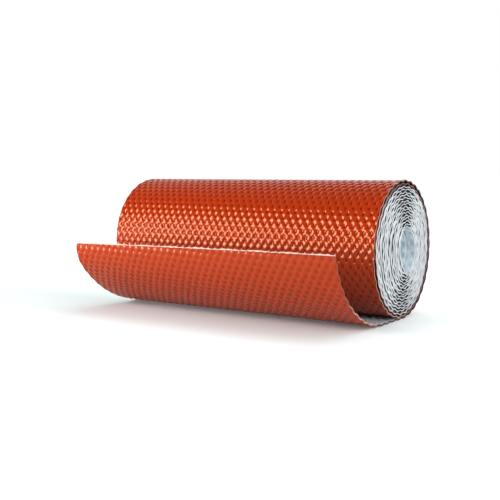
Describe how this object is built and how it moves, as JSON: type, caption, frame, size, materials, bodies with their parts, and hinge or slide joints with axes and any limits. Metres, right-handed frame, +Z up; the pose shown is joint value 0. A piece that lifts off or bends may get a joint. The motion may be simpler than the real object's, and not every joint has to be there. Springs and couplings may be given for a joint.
{
  "type": "roof flashing roll",
  "caption": "Roll of embossed, self-adhesive roof flashing lying on its side, wound round an open bore, with its free end leaving at the bottom and curling up in front.",
  "frame": {"origin": "on the floor, under the middle of the whole object: roll and tail together", "axes": "+X along the roll's axis, -Y towards the free tail, +Z up"},
  "size_m": [0.303, 0.2004, 0.1338],
  "materials": {
    "flashing_strip": "embossed, brick red, semi-gloss",
    "release_liner": "smooth white film"
  },
  "bodies": {
    "root": {"flashing_strip": "flashing_strip", "release_liner": "release_liner"}
  },
  "joints": []
}
